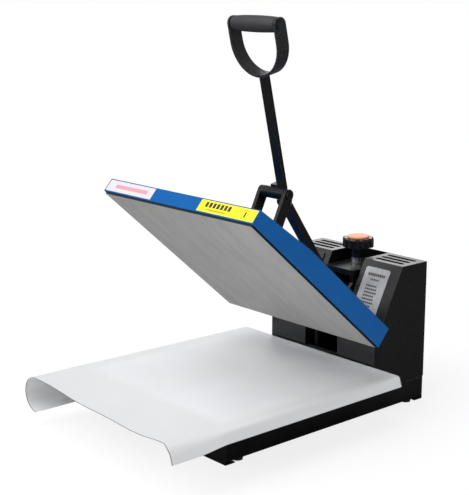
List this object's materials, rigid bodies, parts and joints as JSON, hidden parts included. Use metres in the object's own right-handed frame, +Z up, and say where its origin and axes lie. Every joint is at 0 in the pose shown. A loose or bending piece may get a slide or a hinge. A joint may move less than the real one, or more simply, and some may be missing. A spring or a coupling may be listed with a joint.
{
  "type": "clamshell heat press",
  "caption": "Clamshell heat press with a hinged heated head, D-handle lever and link, padded lower platen, release sheet, twin towers and a rear pressure knob.",
  "frame": {"origin": "on the table, under the middle of the base", "axes": "+X to the operator's right, +Y to the rear, +Z up"},
  "size_m": [0.422, 0.6409, 0.6968],
  "materials": {
    "base_paint": "satin black powder coat",
    "arm_paint": "semi-gloss black enamel",
    "cover_paint": "blue gloss powder coat",
    "foot_rubber": "matt black",
    "zinc_steel": "zinc plated",
    "collar_chrome": "bright chrome",
    "knob_plastic": "gloss black",
    "cap_plastic": "peach orange",
    "plate_aluminium": "brushed, grey",
    "element_steel": "dull",
    "blanket_fibre": "white mineral fibre",
    "pad_silicone": "matt off-white silicone",
    "sheet_fabric": "white coated glass cloth",
    "label_metal": "brushed silver",
    "bezel_plastic": "matt black",
    "board_green": "green circuit board",
    "display_dark": "dark red tinted window",
    "lamp_red": "red lamp",
    "grip_foam": "matt dark grey moulded rubber"
  },
  "bodies": {
    "base": {"base_deck": "base_paint", "base_front_panel": "base_paint", "base_rails": "base_paint", "base_rear_panel": "base_paint", "controller_bezel": "bezel_plastic", "controller_board": "board_green", "controller_case": "bezel_plastic", "display_window": "display_dark", "fuse_holder": "knob_plastic", "hinge_bracket_left": "base_paint", "hinge_bracket_right": "base_paint", "hinge_pins": "zinc_steel", "indicator_lamps": "lamp_red", "inlet_socket": "knob_plastic", "lower_platen": "plate_aluminium", "platen_bars": "base_paint", "platen_legs": "base_paint", "pressure_bridge": "base_paint", "rating_plate": "label_metal", "rear_panel": "base_paint", "rear_panel_screws": "zinc_steel", "relay_on_heat_sink": "plate_aluminium", "release_sheet": "sheet_fabric", "rubber_feet": "foot_rubber", "silicone_pad": "pad_silicone", "switch_bezel": "knob_plastic", "tower_left": "base_paint", "tower_right": "base_paint"},
    "head": {"head_cover": "cover_paint", "heat_plate": "plate_aluminium", "heating_element": "element_steel", "insulation_blanket": "blanket_fibre", "plate_spacers": "zinc_steel", "plate_studs": "zinc_steel", "thermostat": "element_steel", "arm_base_plate": "arm_paint", "arm_cheeks": "arm_paint", "lever_post_left": "arm_paint", "lever_post_right": "arm_paint", "post_bolts": "zinc_steel", "pivot_shaft": "zinc_steel"},
    "lever": {"lever_sleeve": "arm_paint", "lever_bar": "arm_paint", "link_pin": "zinc_steel", "saddle_bolts": "zinc_steel", "handle_strap": "arm_paint", "handle_rod": "zinc_steel", "handle_grip": "grip_foam"},
    "link": {"connecting_link": "arm_paint"},
    "knob": {"pressure_screw": "zinc_steel", "knob_collar": "collar_chrome", "pressure_knob": "knob_plastic", "knob_cap": "cap_plastic"},
    "anchor": {"anchor_yoke": "base_paint", "anchor_pin": "zinc_steel"},
    "rocker": {"power_rocker": "knob_plastic"},
    "button_up": {"button_up": "bezel_plastic"},
    "button_down": {"button_down": "bezel_plastic"},
    "button_mode": {"button_mode": "bezel_plastic"},
    "button_start": {"button_start": "bezel_plastic"}
  },
  "joints": [
    {"name": "head_hinge", "type": "hinge", "parent": "base", "child": "head", "pos_m": [0, 0.1516, 0.1849], "axis": [1, 0, 0], "range_deg": [0, 41.2]},
    {"name": "lever_pivot", "type": "hinge", "parent": "head", "child": "lever", "pos_m": [0, -0.01131, 0.39596], "axis": [1, 0, 0], "range_deg": [0, 36.95]},
    {"name": "link_pivot", "type": "hinge", "parent": "lever", "child": "link", "pos_m": [0, 0.01052, 0.37851], "axis": [1, 0, 0], "range_deg": [-43.45, 0]},
    {"name": "knob_turn", "type": "hinge", "parent": "base", "child": "knob", "pos_m": [0, 0.2, 0.26], "axis": [0, 0, 1], "range_deg": [-541, 541]},
    {"name": "anchor_slide", "type": "slide", "parent": "base", "child": "anchor", "axis": [0, 0, 1], "range_m": [-0.003, 0.003]},
    {"name": "power_rocker_tilt", "type": "hinge", "parent": "base", "child": "rocker", "pos_m": [-0.0983, 0.23735, 0.125], "axis": [1, 0, 0], "range_deg": [0, 18]},
    {"name": "button_up_press", "type": "slide", "parent": "base", "child": "button_up", "axis": [0, 0.8901, -0.4558], "range_m": [0, 0.001], "stiffness_N_per_m": 600},
    {"name": "button_down_press", "type": "slide", "parent": "base", "child": "button_down", "axis": [0, 0.8901, -0.4558], "range_m": [0, 0.001], "stiffness_N_per_m": 600},
    {"name": "button_mode_press", "type": "slide", "parent": "base", "child": "button_mode", "axis": [0, 0.8901, -0.4558], "range_m": [0, 0.001], "stiffness_N_per_m": 600},
    {"name": "button_start_press", "type": "slide", "parent": "base", "child": "button_start", "axis": [0, 0.8901, -0.4558], "range_m": [0, 0.001], "stiffness_N_per_m": 600}
  ],
  "couplings": [
    {"joint": "lever_pivot", "follows": "head_hinge", "ratio": 0.89597},
    {"joint": "link_pivot", "follows": "head_hinge", "ratio": -1.0536},
    {"joint": "knob_turn", "follows": "anchor_slide", "rad_per_m": -3141.6}
  ]
}
